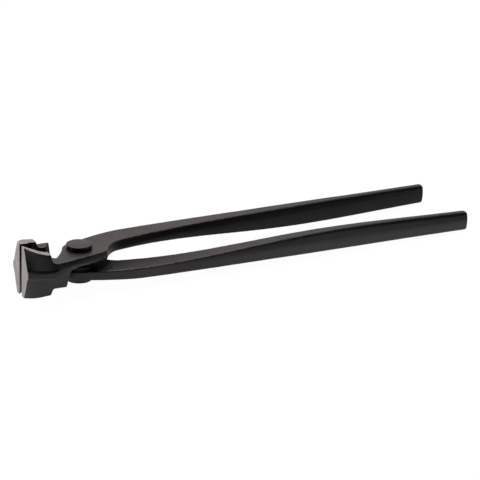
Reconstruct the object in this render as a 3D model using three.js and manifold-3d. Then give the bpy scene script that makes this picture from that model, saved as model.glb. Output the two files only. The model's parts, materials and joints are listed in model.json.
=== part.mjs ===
// Concreters nippers: two like drop-forged levers crossed on one rivet, lying with the jaws a little open.
// Millimetres, +Z up. A lever is drawn in the joint's own axes: Z is the rivet's axis, X runs towards
// the handles, its jaw lies at -Y, its handle at +Y, and its cheek lies above the lap plane z = 0.
import * as THREE from "three";
import { mergeVertices } from "three/addons/utils/BufferGeometryUtils.js";
import Module from "manifold-3d";

// Driving dimensions of the whole tool
const edgeToPivot = 38.3; // cutting edges to rivet axis
const pivotToEnd = 261; // rivet axis to handle ends
const edgeGap = 3.3; // between the cutting edges as they lie
const boreClearance = 0.3; // shank to bore, all round
const faceClearance = 0.2; // between two faces that slide on each other

// Jaw
const jawFrontHeight = 32.6; // along the cutting edge
const jawBackHeight = 25.6; // over the ground end faces behind the throat
const jawLength = 13.8; // front face to the back of the end faces
const jawFrontRidge = 11.9; // mid-plane to the parting ridge at the front face
const jawFrontCorner = 5.4; // mid-plane to the corner of the front face
const jawBackCorner = 15.8; // mid-plane to the end face's outer edge at its back
const jawBackFall = 1.9; // length of the slope from the end face to the neck
const jawEdgeRound = 0.25;
const landHeight = 4.2; // trimmed flash land round the jaw
const landStepFront = 1.1; // how far the land stands out of the jaw's walls at the front face
const landStepBack = 0.7; // and behind the throat
const landStepFoot = 0.5; // height of that step
const throatRadius = 9;
const throatToPivot = 25;
const edgeBevel = 32; // degrees from the mid-plane to the bevel behind the cutting edge
const bevelLength = 8; // along X, running out into the throat

// Lap joint
const headHalfWidth = 17.6; // mid-plane to the ridge at the neck
const cheekTop = 8.7; // above the lap plane
const cheekThickness = 5.5;
const cheekDraft = 0.5; // how far the ridge stands out past the cheek's edges
const cheekEdgeRound = 0.6;
const bossRadius = 10.6;
const padRadius = 9.7; // raised round pad that bears on the other lever
const recessRadius = 20; // arc cut into the neck for the other lever's swing
const recessStep = 0.02; // the arc stops this far below the cheek's lip
const neckDepth = 9.2; // below the lap plane, on the side away from the cheek
const neckDip = 1.1; // how far the neck lies below the cheek's top plane beside the jaw
const cheekLip = 1.1; // beside the shoulder the cheek's outer wall reaches this far below its underside
const neckToPivot = 19; // widest place of the head
const notchOffset = 8.4; // mid-plane to the bottom of the notch between jaw and boss
const neckFootDraft = 2.2; // the neck's lower edge lies this far inside the ridge
const shoulderToPivot = 14.2; // foot of the shoulder below the neck
const shoulderLean = 2.2; // length over which the shoulder leans before it rounds into the cheek
const heelToPivot = 13.9; // square heel of the cheek at the crotch
const heelOffset = 11.3; // mid-plane to the heel

// Rivet
const shankRadius = 4.5;
const rivetHeadRadius = 8.05;
const rivetHeadThickness = 2.7;
const rivetHeadChamfer = 0.45;

// Handle: a flat strip behind the joint that turns into a tall narrow grip
const rootToPivot = 36; // where the strip leaves the crotch
const rootOuter = 21; // mid-plane to the strip's outer edge
const rootWidth = 16.9;
const rootHeight = 6.9;
const gripToPivot = 140; // where the grip has formed
const gripStartOuter = 26.5;
const gripStartWidth = 9.7;
const gripStartTop = 7.6; // above the lap plane
const gripStartHeight = 12.9;
const gripStartRound = 1.3;
const endOuter = 31.4;
const endWidth = 7.2;
const endHeight = 12.3;
const endRound = 2; // edges along the grip at its end
const endChamfer = 1; // edge round the end face
const gripRidge = 0.45; // parting ridge standing out of the grip's sides

// Facets
const cornerSteps = 4;
const wallSteps = 3;
const roundSides = 72;

// Places that follow from the dimensions
const frontX = -edgeToPivot;
const jawBackX = frontX + jawLength;
const neckStartX = jawBackX + jawBackFall;
const neckX = -neckToPivot;
const shoulderX = -shoulderToPivot;
const cheekUnder = cheekTop - cheekThickness;
const cheekRidge = cheekUnder + cheekThickness / 4;
const rootInner = rootOuter - rootWidth;
const gripStartInner = gripStartOuter - gripStartWidth;
const gripStartUnder = gripStartTop - gripStartHeight;
const endInner = endOuter - endWidth;

const wasm = await Module();
wasm.setup();

// A three.js geometry as a closed solid for booleans
function solid(geometry) {
  const bare = geometry.clone();
  bare.deleteAttribute("normal");
  bare.deleteAttribute("uv");
  const merged = mergeVertices(bare, 1e-4);
  return new wasm.Manifold(
    new wasm.Mesh({
      numProp: 3,
      vertProperties: new Float32Array(merged.attributes.position.array),
      triVerts: new Uint32Array(merged.index.array),
    }),
  );
}

// A solid back as a three.js geometry
function geometryOf(made) {
  const mesh = made.getMesh();
  const geometry = new THREE.BufferGeometry();
  geometry.setAttribute("position", new THREE.BufferAttribute(mesh.vertProperties, 3));
  geometry.setIndex(new THREE.BufferAttribute(mesh.triVerts, 1));
  return geometry;
}

// An upright cylinder about the rivet's axis or a line beside it
function upright(radius, low, high, x = 0) {
  const geometry = new THREE.CylinderGeometry(radius, radius, high - low, roundSides);
  geometry.rotateX(Math.PI / 2);
  geometry.translate(x, 0, (low + high) / 2);
  return solid(geometry);
}

// A smooth line through knots of place, value and slope: two knots at one place make a corner
function line(knots) {
  return (x) => {
    const next = knots.findIndex((knot) => knot[0] > x);
    if (next === 0) return knots[0][1];
    if (next < 0) return knots.at(-1)[1];
    const [a, from, slopeA] = knots[next - 1];
    const [b, to, slopeB] = knots[next];
    const t = (x - a) / (b - a);
    const fall = (1 - t) * (1 - t) * (1 + 2 * t);
    const rise = t * t * (3 - 2 * t);
    const leave = t * (1 - t) * (1 - t);
    const arrive = -t * t * (1 - t);
    return from * fall + to * rise + (b - a) * (slopeA * leave + slopeB * arrive);
  };
}

// The jaw side of the lever in plan: parting ridge from the front face, round the head to the heel,
// through the crotch and along the inside of the handle
const innerRidge = line([
  [frontX, -jawFrontRidge, -0.45],
  [neckX, -headHalfWidth, 0],
  [heelToPivot, -heelOffset, 0.36],
  [heelToPivot, -heelOffset, 1.9],
  [rootToPivot, rootInner, 0.2],
  [gripToPivot, gripStartInner, 0.07],
  [pivotToEnd, endInner, 0.04],
]);

// How far the upper and the lower edge of that side lie inside the ridge
const jawFrontDraft = jawFrontRidge - jawFrontCorner;
const jawBackDraft = headHalfWidth - jawBackCorner;
const upperDraft = line([
  [frontX, jawFrontDraft, -1.45],
  [jawBackX, jawBackDraft, 0],
  [neckX, cheekDraft, 0],
  [rootToPivot, cheekDraft, 0],
  [gripToPivot, gripRidge, 0],
]);
const lowerDraft = line([
  [frontX, jawFrontDraft, -1.45],
  [jawBackX, jawBackDraft, 0],
  [neckX, neckFootDraft, 0],
  [shoulderX, neckFootDraft, 0],
  [-recessRadius / 2, cheekDraft, 0],
  [gripToPivot, gripRidge, 0],
]);

// The handle side in plan: the jaw's meeting face, the notch behind the throat, the round boss,
// and the outside of the handle, which leaves the boss along a tangent
const bossTangentSlope = 0.35;
const bossTangent = Math.atan(bossTangentSlope);
const bossStart = THREE.MathUtils.degToRad(15);
const bossStartX = -bossRadius * Math.cos(bossStart);
const bossEndX = -bossRadius * Math.sin(bossTangent);
const handleOuter = line([
  [bossEndX, bossRadius * Math.cos(bossTangent), bossTangentSlope],
  [rootToPivot, rootOuter, 0.05],
  [gripToPivot, gripStartOuter, 0.04],
  [pivotToEnd, endOuter, 0.055],
]);
const notch = line([
  [neckStartX, -edgeGap / 2, 0],
  [neckX, -notchOffset, 0],
  [neckX, -notchOffset, 1],
  [bossStartX, bossRadius * Math.sin(bossStart), 1.6],
]);
function outerEdge(x) {
  if (x < bossStartX) return notch(x);
  if (x < bossEndX) return Math.sqrt(bossRadius * bossRadius - x * x);
  return handleOuter(x);
}
const outerDraft = line([
  [rootToPivot, 0, 0],
  [gripToPivot, gripRidge, 0],
]);

// Heights: end faces, neck, cheek and the grip that grows back to the middle of the tool
const topLine = line([
  [frontX, jawFrontHeight / 2, -0.36],
  [jawBackX, jawBackHeight / 2, -0.16],
  [jawBackX, jawBackHeight / 2, -3.2],
  [neckStartX, cheekTop - neckDip, 0],
  [-bossRadius / 2, cheekTop, 0],
  [rootToPivot, cheekTop, 0],
  [gripToPivot, gripStartTop, -0.007],
  [pivotToEnd, endHeight / 2, -0.01],
]);
const underLine = line([
  [frontX, -jawFrontHeight / 2, 0.36],
  [jawBackX, -jawBackHeight / 2, 0.16],
  [jawBackX, -jawBackHeight / 2, 2.4],
  [neckStartX, -neckDepth, 0.04],
  [shoulderX, -neckDepth, 0.04],
  [shoulderX, -neckDepth, 5],
  [shoulderX + shoulderLean, 0, 2.4],
  [-recessRadius / 2, cheekUnder, 0],
  [rootToPivot, cheekTop - rootHeight, -0.012],
  [gripToPivot, gripStartUnder, -0.062],
  [pivotToEnd, -endHeight / 2, 0.009],
]);
const lip = line([
  [shoulderX + shoulderLean, 0, 0],
  [-recessRadius / 2, cheekLip, 0],
  [-bossRadius / 2, 0, 0],
]);
const gripMiddle = gripStartTop - gripStartHeight / 2;
const landTop = line([
  [jawBackX - landHeight / 2, landHeight / 2, 0],
  [neckX, cheekUnder, 0.15],
  [-recessRadius / 2, cheekRidge + cheekThickness / 20, 0],
  [rootToPivot, cheekRidge + cheekThickness / 20, 0],
  [gripToPivot, gripMiddle + gripStartHeight / 12, -0.011],
  [pivotToEnd, endHeight / 12, -0.01],
]);
const landUnder = line([
  [jawBackX, -landHeight / 2, 0],
  [-recessRadius / 2, cheekRidge - cheekThickness / 20, 0],
  [rootToPivot, cheekRidge - cheekThickness / 20, 0],
  [gripToPivot, gripMiddle - gripStartHeight / 12, -0.011],
  [pivotToEnd, -endHeight / 12, -0.01],
]);
const landStep = line([
  [frontX, landStepFront, 0],
  [jawBackX, landStepBack, -0.06],
  [neckX, 0, 0],
]);
const edgeRound = line([
  [jawBackX, jawEdgeRound, 0],
  [neckStartX, cheekEdgeRound, 0],
  [rootToPivot, cheekEdgeRound, 0],
  [gripToPivot, gripStartRound, 0.01],
  [pivotToEnd, endRound, 0],
]);

// One section of the lever across X, drawn in inset from its edges, anticlockwise seen from +X
function section(x, inset) {
  const top = topLine(x) - inset;
  const under = underLine(x) + inset;
  const inner = innerRidge(x) + inset;
  const outer = outerEdge(x) - inset;
  const high = landTop(x);
  const low = landUnder(x);
  const wall = inner + landStep(x);
  const round = Math.max(edgeRound(x) - inset / 2, 0.1);
  const points = [];
  const corner = (y, z, start) => {
    for (let i = 0; i <= cornerSteps; i++) {
      const angle = start + (Math.PI / 2) * (i / cornerSteps);
      points.push(new THREE.Vector3(x, y + round * Math.cos(angle), z + round * Math.sin(angle)));
    }
  };
  corner(inner + lowerDraft(x) + round, under - lip(x) + round, Math.PI);
  corner(outer - outerDraft(x) - round, under + round, 1.5 * Math.PI);
  points.push(new THREE.Vector3(x, outer, low), new THREE.Vector3(x, outer, high));
  corner(outer - outerDraft(x) - round, top - round, 0);
  corner(inner + upperDraft(x) + round, top - round, Math.PI / 2);
  const along = (from, to) => {
    for (let i = 1; i < wallSteps; i++) points.push(from.clone().lerp(to, i / wallSteps));
  };
  const upperFoot = new THREE.Vector3(x, wall, high + landStepFoot);
  const lowerFoot = new THREE.Vector3(x, wall, low - landStepFoot);
  along(points.at(-1), upperFoot);
  points.push(upperFoot, new THREE.Vector3(x, inner, high), new THREE.Vector3(x, inner, low), lowerFoot);
  along(lowerFoot, points[0]);
  return points;
}

// Skin over sections with the same number of points, closed at both ends by a fan about a middle point
function loft(sections) {
  const count = sections[0].length;
  const index = [];
  for (let s = 0; s + 1 < sections.length; s++) {
    for (let i = 0; i < count; i++) {
      const a = s * count + i;
      const b = s * count + ((i + 1) % count);
      index.push(a, b, b + count, a, b + count, a + count);
    }
  }
  const middleOf = (points) => new THREE.Box3().setFromPoints(points).getCenter(new THREE.Vector3());
  const points = [...sections.flat(), middleOf(sections[0]), middleOf(sections.at(-1))];
  const last = (sections.length - 1) * count;
  for (let i = 0; i < count; i++) {
    const next = (i + 1) % count;
    index.push(points.length - 2, next, i);
    index.push(points.length - 1, last + i, last + next);
  }
  const geometry = new THREE.BufferGeometry().setFromPoints(points);
  geometry.setIndex(index);
  return geometry;
}

// Places of the sections: each stretch of the lever is divided on its own
function stations() {
  const stretches = [
    [frontX, jawBackX, 12],
    [jawBackX, neckStartX, 4],
    [neckStartX, neckX, 4],
    [neckX, shoulderX, 5],
    [shoulderX, shoulderX + shoulderLean, 3],
    [bossStartX, bossEndX, 9],
    [bossEndX, heelToPivot, 7],
    [heelToPivot, rootToPivot, 9],
    [rootToPivot, gripToPivot, 13],
    [gripToPivot, pivotToEnd - endChamfer, 8],
  ];
  const places = [-recessRadius / 2];
  for (const [from, to, steps] of stretches) {
    for (let i = 0; i <= steps; i++) places.push(from + ((to - from) * i) / steps);
  }
  places.sort((a, b) => a - b);
  return places.filter((x, i) => i === 0 || x - places[i - 1] > 0.05);
}

// The forging: lofted blank, recess and round pad of the lap joint, throat, cutting bevel and bore
function leverGeometry() {
  const sections = stations().map((x) => section(x, 0));
  const endSteps = 3;
  for (let i = 1; i <= endSteps; i++) {
    const angle = (Math.PI / 2) * (i / endSteps);
    const x = pivotToEnd - endChamfer * (1 - Math.sin(angle));
    sections.push(section(x, endChamfer * (1 - Math.cos(angle))));
  }
  const beyond = jawFrontHeight;
  const bevelSlope = Math.tan(THREE.MathUtils.degToRad(edgeBevel));
  const bevel = new THREE.Shape([
    new THREE.Vector2(frontX, -edgeGap / 2),
    new THREE.Vector2(frontX + bevelLength, -edgeGap / 2 - bevelLength * bevelSlope),
    new THREE.Vector2(frontX + bevelLength, edgeGap),
    new THREE.Vector2(frontX, edgeGap),
  ]);
  const bevelCut = new THREE.ExtrudeGeometry(bevel, { depth: 2 * beyond, bevelEnabled: false });
  bevelCut.translate(0, 0, -beyond);
  const overlap = 1;
  const made = solid(loft(sections))
    .subtract(upright(recessRadius, -beyond, cheekUnder - cheekLip - recessStep))
    .add(upright(padRadius, faceClearance / 2, cheekUnder + overlap))
    .subtract(upright(throatRadius, -beyond, beyond, -throatToPivot))
    .subtract(solid(bevelCut))
    .subtract(upright(shankRadius + boreClearance, -beyond, beyond));
  return geometryOf(made);
}

// The rivet: a shank with a flat disc head on each side, turned about its own axis
function rivetGeometry() {
  const under = cheekTop + faceClearance;
  const top = under + rivetHeadThickness;
  const half = [
    [shankRadius, under],
    [rivetHeadRadius, under],
    [rivetHeadRadius, top - rivetHeadChamfer],
    [rivetHeadRadius - rivetHeadChamfer, top],
    [0, top],
  ];
  const upper = half.map(([r, z]) => new THREE.Vector2(r, z));
  const lower = half.map(([r, z]) => new THREE.Vector2(r, -z)).reverse();
  const geometry = new THREE.LatheGeometry([...lower, ...upper], roundSides);
  geometry.rotateX(Math.PI / 2);
  return geometryOf(solid(geometry));
}

const forgedSteel = new THREE.MeshStandardMaterial({ color: 0x2b2a2b, roughness: 0.5, metalness: 0.75 });
const rivetSteel = new THREE.MeshStandardMaterial({ color: 0x343236, roughness: 0.45, metalness: 0.75 });

const forging = leverGeometry();
const upperLever = new THREE.Mesh(forging, forgedSteel);
upperLever.name = "upper_lever";
const lowerLever = new THREE.Mesh(forging, forgedSteel.clone());
lowerLever.name = "lower_lever";
lowerLever.rotation.x = Math.PI;
const pivotRivet = new THREE.Mesh(rivetGeometry(), rivetSteel);
pivotRivet.name = "pivot_rivet";

// The tool lies on the lower corners of its jaws and on the lower edges of its handle ends
const tool = new THREE.Group();
tool.add(upperLever, lowerLever, pivotRivet);
tool.rotation.y = Math.atan2(jawFrontHeight / 2 - endHeight / 2, edgeToPivot + pivotToEnd - endChamfer);
const nippers = new THREE.Group();
nippers.add(tool);
nippers.updateMatrixWorld(true);
const box = new THREE.Box3().setFromObject(nippers, true);
tool.position.set(-(box.min.x + box.max.x) / 2, 0, -box.min.z);

export default nippers;
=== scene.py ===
import json
import math

import bpy
import numpy as np
from mathutils import Matrix, Vector


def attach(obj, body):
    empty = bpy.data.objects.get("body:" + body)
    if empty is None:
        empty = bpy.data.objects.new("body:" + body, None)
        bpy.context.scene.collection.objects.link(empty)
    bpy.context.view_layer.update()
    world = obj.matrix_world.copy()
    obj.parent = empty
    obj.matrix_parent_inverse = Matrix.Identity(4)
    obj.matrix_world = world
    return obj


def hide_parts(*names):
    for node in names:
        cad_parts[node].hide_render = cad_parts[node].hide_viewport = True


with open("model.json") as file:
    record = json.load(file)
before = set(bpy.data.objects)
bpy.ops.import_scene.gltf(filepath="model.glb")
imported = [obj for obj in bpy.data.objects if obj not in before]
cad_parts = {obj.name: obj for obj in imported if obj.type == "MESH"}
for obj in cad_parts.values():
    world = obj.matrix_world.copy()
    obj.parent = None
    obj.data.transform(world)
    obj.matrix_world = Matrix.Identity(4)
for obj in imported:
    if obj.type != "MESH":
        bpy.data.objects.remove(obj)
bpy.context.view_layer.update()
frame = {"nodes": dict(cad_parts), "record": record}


# Upper lever: one drop forging in medium carbon steel with the near jaw, the upper cheek and the far handle.
# It is trimmed along its parting line, blasted and blacked in an oxide bath, so its edges are soft;
# the jaw's front and its two ends are then ground back to bare steel on a wheel.
hinge = frame["record"]["behaviour"]["joints"][0]
pivot = Vector(hinge["pos_m"])
lean = math.atan2(-hinge["axis"][0], -hinge["axis"][2])
joint_axes = Matrix.Translation(pivot) @ Matrix.Rotation(lean, 4, "Y")


def empty_tree(owner):
    owner.use_nodes = True
    owner.node_tree.nodes.clear()
    return owner.node_tree


def plug(socket, value):
    """Links a socket to another node's, or sets it to a plain value."""
    if isinstance(value, bpy.types.NodeSocket):
        socket.id_data.links.new(value, socket)
    else:
        socket.default_value = value


def add(tree, kind, settings=None, **inputs):
    node = tree.nodes.new("ShaderNode" + kind)
    for key, value in (settings or {}).items():
        setattr(node, key, value)
    for key, value in inputs.items():
        plug(node.inputs[key.replace("_", " ")], value)
    return node


def noise(tree, place, scale, detail, roughness=0.5):
    return add(tree, "TexNoise", Vector=place, Scale=scale, Detail=detail, Roughness=roughness).outputs["Fac"]


def work_out(tree, operation, *values):
    node = add(tree, "Math", {"operation": operation})
    for socket, value in zip(node.inputs, values):
        plug(socket, value)
    return node.outputs[0]


def span(tree, value, low, high, at_low=0.0, at_high=1.0):
    """A value that runs from at_low to at_high while the given one runs from low to high."""
    limits = {"From_Min": low, "From_Max": high, "To_Min": at_low, "To_Max": at_high}
    return add(tree, "MapRange", Value=value, **limits).outputs[0]


def ramp(tree, value, *stops, ease=False):
    """A colour ramp with stops of place and grey or colour."""
    node = add(tree, "ValToRGB", Fac=value)
    elements = node.color_ramp.elements
    while len(elements) < len(stops):
        elements.new(0.5)
    for element, (place, colour) in zip(elements, stops):
        element.position = place
        element.color = (*colour, 1) if isinstance(colour, tuple) else (colour, colour, colour, 1)
    if ease:
        node.color_ramp.interpolation = "EASE"
    return node.outputs["Color"]


def mix_colours(tree, kind, factor, first, second):
    node = add(tree, "Mix", {"data_type": "RGBA", "blend_type": kind}, Factor=factor)
    colour_sockets = [socket for socket in node.inputs if socket.type == "RGBA"]
    for socket, value in zip(colour_sockets, (first, second)):
        plug(socket, value)
    return next(socket for socket in node.outputs if socket.type == "RGBA")


def relief(tree, height, strength, distance):
    return add(tree, "Bump", Strength=strength, Distance=distance, Height=height).outputs["Normal"]


def cover(tree, **inputs):
    """The finished surface of a material."""
    surface = add(tree, "BsdfPrincipled", **inputs)
    add(tree, "OutputMaterial", Surface=surface.outputs[0])


black_oxide = bpy.data.materials.new("black_oxide_forging")
tree = empty_tree(black_oxide)
place = add(tree, "TexCoord").outputs["Object"]
patches = noise(tree, place, scale=60, detail=3, roughness=0.55)
grain = noise(tree, place, scale=900, detail=5, roughness=0.6)
dust = noise(tree, place, scale=3600, detail=3, roughness=0.6)
mottle = work_out(tree, "MULTIPLY_ADD", patches, 0.6, work_out(tree, "MULTIPLY", grain, 0.4))
oxide = ramp(tree, mottle, (0.36, (0.0045, 0.0043, 0.0046)), (0.64, (0.0115, 0.0106, 0.0104)))
height = add(tree, "Attribute", {"attribute_name": "standing_edge"}).outputs["Fac"]
edge = ramp(tree, height, (0.03, 0.0), (0.09, 1.0))
rubbed = work_out(tree, "MULTIPLY", edge, ramp(tree, grain, (0.42, 0.0), (0.62, 1.0)))
cover(tree,
      Base_Color=mix_colours(tree, "MIX", rubbed, oxide, (0.16, 0.141, 0.127, 1)),
      Roughness=span(tree, mottle, low=0.35, high=0.65, at_low=0.42, at_high=0.34),
      Normal=relief(tree, work_out(tree, "ADD", grain, dust), strength=0.3, distance=0.00012))

strokes_across = 5200
strokes_along = 160


def ground_face(name, dull, bright):
    """Bare steel with the strokes that a grinding wheel leaves along the jaw's height."""
    material = bpy.data.materials.new(name)
    tree = empty_tree(material)
    place = add(tree, "TexCoord").outputs["Object"]
    stretch = add(tree, "Mapping", Vector=place, Rotation=(0, -lean, 0),
                  Scale=(strokes_across, strokes_across, strokes_along)).outputs[0]
    strokes = noise(tree, stretch, scale=1, detail=4, roughness=0.65)
    steel = ramp(tree, strokes, (0.3, dull), (0.7, bright))
    patches = noise(tree, place, scale=130, detail=3)
    stain = ramp(tree, patches, (0.35, (0.82, 0.8, 0.78)), (0.6, (1.0, 1.0, 1.0)))
    cover(tree,
          Base_Color=mix_colours(tree, "MULTIPLY", 1.0, steel, stain),
          Metallic=1.0,
          Roughness=span(tree, strokes, low=0.3, high=0.7, at_low=0.42, at_high=0.32),
          Normal=relief(tree, strokes, strength=0.12, distance=0.00006))
    return material


# The front and the ends are the same ground steel. The ends' copy is painted lighter than the front's, as
# painted light from the backdrop on them.
ground_front = ground_face("ground_jaw_front", dull=(0.295, 0.27, 0.25), bright=(0.45, 0.413, 0.384))
ground_end_painted_lighter = ground_face("ground_jaw_end_painted_lighter", dull=(0.36, 0.352, 0.347), bright=(0.55, 0.538, 0.53))

# Painted shade: a near-black, dull skin with darker patches on the faces in and around the lap, where the gap
# between the cheeks lies in shade.
lap_painted_shade = bpy.data.materials.new("painted_shade_in_the_lap")
tree = empty_tree(lap_painted_shade)
shade_patches = noise(tree, add(tree, "TexCoord").outputs["Object"], scale=420, detail=4)
painted_shade_colour = ramp(tree, shade_patches, (0.35, (0.004, 0.0036, 0.0033)), (0.65, (0.009, 0.0079, 0.0071)))
cover(tree, Base_Color=painted_shade_colour, Roughness=0.7, Specular_IOR_Level=0.35)


def only(piece):
    bpy.ops.object.select_all(action="DESELECT")
    piece.select_set(True)
    bpy.context.view_layer.objects.active = piece


def apply(piece, kind, **settings):
    only(piece)
    modifier = piece.modifiers.new(kind.lower(), kind)
    for key, value in settings.items():
        setattr(modifier, key, value)
    bpy.ops.object.modifier_apply(modifier=modifier.name)


def merge_points(piece, distance):
    only(piece)
    bpy.ops.object.mode_set(mode="EDIT")
    bpy.ops.mesh.select_all(action="SELECT")
    bpy.ops.mesh.remove_doubles(threshold=distance)
    bpy.ops.mesh.dissolve_degenerate(threshold=distance)
    bpy.ops.object.mode_set(mode="OBJECT")


def pick(piece, test):
    """Leaves the piece in edit mode with the faces selected that pass the test on place and normal."""
    only(piece)
    bpy.ops.object.mode_set(mode="EDIT")
    bpy.ops.mesh.select_mode(type="FACE")
    bpy.ops.mesh.select_all(action="DESELECT")
    bpy.ops.object.mode_set(mode="OBJECT")
    for face in piece.data.polygons:
        face.select = test(face.center, face.normal)
    bpy.ops.object.mode_set(mode="EDIT")


def pull_out(piece, way, test):
    """Draws the faces that pass the test out along the given way, with walls behind them."""
    pick(piece, test)
    bpy.ops.mesh.extrude_region_move(TRANSFORM_OT_translate={"value": way})
    bpy.ops.object.mode_set(mode="OBJECT")


front_to_pivot = 0.0383
jaw_back_to_pivot = 0.0245
jaw_front_half = 0.0163
jaw_back_half = 0.0128
grind_wheel_radius = 0.073
grind_wheel_width = 0.1
grind_wheel_sides = 720


def grinding_wheel(side):
    """The wheel that leaves one end of the jaw slightly hollow, from its front edge to its back."""
    half_run = (front_to_pivot - jaw_back_to_pivot) / 2
    fall = jaw_front_half - jaw_back_half
    slope = math.atan2(fall, 2 * half_run)
    half_chord = math.hypot(half_run, fall / 2)
    reach = math.sqrt(grind_wheel_radius ** 2 - half_chord ** 2)
    middle = Vector((-(front_to_pivot + jaw_back_to_pivot) / 2, 0, (jaw_front_half + jaw_back_half) / 2))
    bpy.ops.object.select_all(action="DESELECT")
    bpy.ops.mesh.primitive_cylinder_add(
        vertices=grind_wheel_sides, radius=grind_wheel_radius, depth=grind_wheel_width)
    wheel = bpy.context.object
    wheel.data.transform(
        Matrix.Translation(middle + reach * Vector((math.sin(slope), 0, math.cos(slope))))
        @ Matrix.Rotation(math.pi / 2, 4, "X"))
    if side < 0:
        wheel.data.transform(Matrix.Rotation(math.pi, 4, "X"))
    return wheel


def face_grinder():
    """The flat side of the wheel that faces both jaws off level with each other."""
    bpy.ops.object.select_all(action="DESELECT")
    bpy.ops.mesh.primitive_cube_add(size=grind_wheel_width)
    grinder = bpy.context.object
    grinder.data.transform(Matrix.Translation((-front_to_pivot - grind_wheel_width / 2, 0, 0)))
    return grinder


skin_step = 0.00041
lap_radius = 0.0201
pad_radius = 0.0103
cheek_under = 0.0034
shade_reach = 0.018
shade_slant = 0.7
wall_facing = 0.9
level_facing = 0.6


def in_the_lap(centre, normal):
    """Whether a face lies where the other cheek covers it or turns past it, where the gap's shade is painted
    on.
    """
    out = centre.xy.length
    faces_pivot = normal.xy.dot(centre.xy) < -wall_facing * out
    if faces_pivot and pad_radius < out < lap_radius + skin_step:
        return True
    past_cheek = centre.y * math.copysign(1, centre.z) + shade_slant * centre.x > shade_reach
    if abs(centre.z) > cheek_under or out > lap_radius or past_cheek:
        return False
    return out < pad_radius or abs(normal.z) > level_facing


edge_rounds = 4


def mark_edges(piece):
    """Stores on each point how far it stands out over the skin around it, where hands rub the oxide off."""
    mesh = piece.data
    count = len(mesh.vertices)
    places = np.empty(3 * count)
    normals = np.empty(3 * count)
    mesh.vertices.foreach_get("co", places)
    mesh.vertex_normals.foreach_get("vector", normals)
    places = places.reshape(-1, 3)
    normals = normals.reshape(-1, 3)
    ends = np.empty(2 * len(mesh.edges), dtype=np.int32)
    mesh.edges.foreach_get("vertices", ends)
    links = np.bincount(ends, minlength=count)
    start, end = ends.reshape(-1, 2).T
    way = places[start] - places[end]
    way /= np.linalg.norm(way, axis=1, keepdims=True)

    def around(at_start, at_end):
        return (np.bincount(start, at_start, count) + np.bincount(end, at_end, count)) / links

    height = around((normals[start] * way).sum(axis=1), -(normals[end] * way).sum(axis=1))
    for _ in range(edge_rounds):
        height = 0.5 * height + 0.5 * around(height[end], height[start])
    mesh.attributes.new("standing_edge", "FLOAT", "POINT").data.foreach_set("value", height)


same_point = 0.000001
sliver = 0.00003
grind_allowance = 0.0012
front_margin = 0.0001
end_margin = 0.0005
front_facing = 0.999
end_facing = 0.9
smoothing_rounds = 5
wave_length = 0.011
wave_height = 0.00014
crease = math.radians(40)


def forging(node, name):
    """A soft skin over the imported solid, with the ground faces cut crisp from an allowance left on them."""
    piece = bpy.data.objects.new(name, frame["nodes"][node].data.copy())
    bpy.context.scene.collection.objects.link(piece)
    piece.data.materials.clear()
    piece.data.transform(joint_axes.inverted())
    merge_points(piece, same_point)
    pull_out(piece, (-grind_allowance, 0, 0),
             lambda c, n: n.x < -front_facing and c.x < front_margin - front_to_pivot)
    for side in (1, -1):
        pull_out(piece, (0, 0, side * grind_allowance),
                 lambda c, n: (side * n.z > end_facing and side * c.z > jaw_back_half - end_margin
                               and c.x < -jaw_back_to_pivot))
    apply(piece, "REMESH", mode="VOXEL", voxel_size=skin_step)
    apply(piece, "SMOOTH", factor=0.5, iterations=smoothing_rounds)
    waves = bpy.data.textures.new(name + "_waves", "CLOUDS")
    waves.noise_scale = wave_length
    apply(piece, "DISPLACE", texture=waves, texture_coords="LOCAL", strength=wave_height, mid_level=0.5)
    for finish in (black_oxide, ground_front, ground_end_painted_lighter):
        piece.data.materials.append(finish)
    cuts = ((face_grinder(), ground_front), (grinding_wheel(1), ground_end_painted_lighter), (grinding_wheel(-1), ground_end_painted_lighter))
    for cut, finish in cuts:
        cut.data.materials.append(finish)
        apply(piece, "BOOLEAN", object=cut, operation="DIFFERENCE", solver="EXACT", material_mode="TRANSFER")
        bpy.data.objects.remove(cut)
    merge_points(piece, sliver)
    # The lap's faces get the painted shade of the gap between the two cheeks.
    piece.data.materials.append(lap_painted_shade)
    pick(piece, in_the_lap)
    piece.active_material_index = len(piece.data.materials) - 1
    bpy.ops.object.material_slot_assign()
    bpy.ops.object.mode_set(mode="OBJECT")
    piece.data.transform(joint_axes)
    mark_edges(piece)
    only(piece)
    bpy.ops.object.shade_smooth_by_angle(angle=crease)
    return piece


upper_lever = forging("upper_lever", "upper_lever_forging")
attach(upper_lever, "upper_half")
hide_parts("upper_lever")


# Lower lever: the same steel forging turned half a turn about the tool's length, with the far jaw and
# the near handle, blacked and ground like the upper one. Its cheek lies under the upper one's and turns
# on the rivet against a round pad.
lower_lever = forging("lower_lever", "lower_lever_forging")
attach(lower_lever, "lower_half")
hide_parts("lower_lever")


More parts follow.
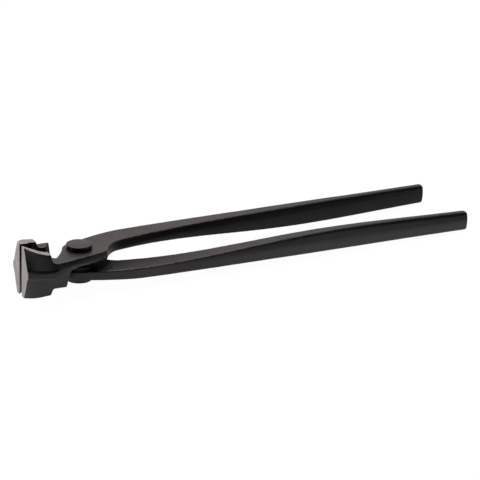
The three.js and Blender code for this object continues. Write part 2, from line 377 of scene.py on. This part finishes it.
# Pivot rivet: a turned steel pin whose two ends are pressed into flat round heads, 16 mm across, over the
# two cheeks. Its rims are slightly rounded, its faces show faint turning marks, and it is blacked like
# the levers.
rivet_sides = 128
shank_radius = 0.0045
head_radius = 0.00805
head_seat = 0.00873
head_top = 0.0116
rim_round = 0.0004
rim_steps = 5
rim_crease = math.radians(35)
rim_reach = 0.00001
head_spread = head_radius / shank_radius
bpy.ops.object.select_all(action="DESELECT")
bpy.ops.mesh.primitive_cylinder_add(
    vertices=rivet_sides, radius=shank_radius, depth=2 * head_seat, end_fill_type="NGON")
rivet = bpy.context.object
rivet.name = "pivot_rivet_turned"
for side in (1, -1):
    pick(rivet, lambda c, n: side * n.z > end_facing and side * c.z > 0)
    bpy.ops.mesh.extrude_region_move(TRANSFORM_OT_translate={"value": (0, 0, 0)})
    bpy.ops.transform.resize(value=(head_spread, head_spread, 1))
    bpy.ops.mesh.extrude_region_move(TRANSFORM_OT_translate={"value": (0, 0, side * (head_top - head_seat))})
    bpy.ops.object.mode_set(mode="OBJECT")


def on_rim(point):
    return abs(abs(point.z) - head_top) < rim_reach and point.xy.length > head_radius - rim_reach


only(rivet)
bpy.ops.object.mode_set(mode="EDIT")
bpy.ops.mesh.select_mode(type="EDGE")
bpy.ops.mesh.select_all(action="DESELECT")
bpy.ops.object.mode_set(mode="OBJECT")
points = rivet.data.vertices
for line in rivet.data.edges:
    line.select = all(on_rim(points[i].co) for i in line.vertices)
bpy.ops.object.mode_set(mode="EDIT")
bpy.ops.mesh.bevel(offset=rim_round, segments=rim_steps, profile=0.5, affect="EDGES")
bpy.ops.object.mode_set(mode="OBJECT")
rivet.data.transform(joint_axes)
only(rivet)
bpy.ops.object.shade_smooth_by_angle(angle=rim_crease)

blacked_rivet = bpy.data.materials.new("blacked_rivet")
tree = empty_tree(blacked_rivet)
place = add(tree, "TexCoord").outputs["Object"]
from_axis = add(tree, "Mapping", Vector=place, Rotation=(0, -lean, 0),
                Location=Matrix.Rotation(-lean, 3, "Y") @ -pivot).outputs[0]
turning = add(tree, "TexWave", {"wave_type": "RINGS", "rings_direction": "Z"}, Vector=from_axis, Scale=620,
              Distortion=1.2, Detail=2, Detail_Scale=2).outputs["Fac"]
grain = noise(tree, place, scale=1500, detail=4, roughness=0.6)
patches = noise(tree, place, scale=170, detail=3)
marks = work_out(tree, "MULTIPLY_ADD", turning, 0.25, grain)
cover(tree,
      Base_Color=ramp(tree, patches, (0.35, (0.009, 0.0086, 0.0105)), (0.65, (0.017, 0.0162, 0.0195))),
      Roughness=span(tree, grain, low=0.35, high=0.65, at_low=0.37, at_high=0.29),
      Normal=relief(tree, marks, strength=0.12, distance=0.00008))
rivet.data.materials.append(blacked_rivet)
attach(rivet, "upper_half")
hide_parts("pivot_rivet")


# Floor: a plain white studio table that runs out of sight, and keeps only a faint shadow of the tool. In the
# steel it shows a painted glow: a painted pool of light close to the tool, a painted shadow under it, and
# painted dark towards the room in front.
bpy.ops.object.select_all(action="DESELECT")
bpy.ops.mesh.primitive_plane_add(size=12)
floor = bpy.context.object
floor.name = "studio_floor"


def mix_shaders(tree, factor, first, second):
    node = add(tree, "MixShader", Fac=factor)
    for socket, value in zip(node.inputs[1:], (first, second)):
        plug(socket, value)
    return node.outputs[0]


painted_pool_half = 0.15
jaws_front = -0.15
jaws_back = -0.12
white_table = bpy.data.materials.new("white_table")
tree = empty_tree(white_table)
spot = add(tree, "SeparateXYZ", Vector=add(tree, "TexCoord").outputs["Object"]).outputs
across = span(tree, spot["Y"], low=-painted_pool_half, high=painted_pool_half)
# Painted light and shadow, seen only in reflections: a pool of light around the tool that darkens towards the
# front, and a shadow stripe under the tool behind the jaws.
painted_light_pool = ramp(tree, across, (0.09, 0.03), (0.33, (0.98, 0.955, 1.0)), ease=True)
painted_shadow_under_tool = ramp(tree, across, (0.38, 1.0), (0.46, 0.4), (0.6, 0.4), (0.7, 1.0), ease=True)
painted_glow = mix_colours(tree, "MULTIPLY", span(tree, spot["X"], low=jaws_front, high=jaws_back), painted_light_pool, painted_shadow_under_tool)
rays = add(tree, "LightPath").outputs
paper = add(tree, "BsdfDiffuse", Color=(0.85, 0.85, 0.85, 1)).outputs[0]
glow = add(tree, "Emission", Color=(1, 1, 1, 1), Strength=1.06).outputs[0]
table_top = mix_shaders(tree, 0.92, paper, glow)
mirrored = mix_shaders(tree, rays["Is Glossy Ray"], paper, add(tree, "Emission", Color=painted_glow).outputs[0])
add(tree, "OutputMaterial", Surface=mix_shaders(tree, rays["Is Camera Ray"], mirrored, table_top))
floor.data.materials.append(white_table)


# Studio light: a white backdrop behind the tool, a dim room in front of it, and a wide soft box overhead.
# The camera itself sees plain white all round.
studio = bpy.data.worlds.new("studio")
bpy.context.scene.world = studio
tree = empty_tree(studio)
heading = add(tree, "SeparateXYZ", Vector=add(tree, "TexCoord").outputs["Generated"]).outputs["Y"]
backdrop = add(tree, "MapRange", {"interpolation_type": "SMOOTHSTEP"}, Value=heading,
               From_Min=-0.1, From_Max=0.6, To_Min=0.03, To_Max=0.7).outputs[0]
room = add(tree, "Background", Color=(1, 0.89, 0.86, 1), Strength=backdrop).outputs[0]
white = add(tree, "Background", Color=(1, 1, 1, 1)).outputs[0]
to_camera = add(tree, "LightPath").outputs["Is Camera Ray"]
add(tree, "OutputWorld", Surface=mix_shaders(tree, to_camera, room, white))

bpy.ops.object.select_all(action="DESELECT")
bpy.ops.object.light_add(type="AREA", location=(-0.05, 0.35, 1.0))
soft_box = bpy.context.object
soft_box.name = "overhead_soft_box"
soft_box.data.size = 0.9
soft_box.data.energy = 6
tool_middle = Vector((0, 0, 0.01))
soft_box.rotation_euler = (tool_middle - soft_box.location).to_track_quat("-Z", "Y").to_euler()


# Camera: a long lens a little to the left of the jaws and 22 degrees above the table, as in the photograph.
# Its place, turn and lens were fitted to the tool's outline there.
bpy.ops.object.select_all(action="DESELECT")
bpy.ops.object.camera_add(
    location=(-0.61297704, -1.19831823, 0.54556542), rotation=(1.19145811, -0.00134942, -0.47192484))
camera = bpy.context.object
camera.data.lens = 171.734
camera.data.sensor_width = 36
camera.data.sensor_fit = "HORIZONTAL"
camera.data.clip_end = 50
bpy.context.scene.camera = camera
bpy.context.scene.view_settings.view_transform = "Standard"
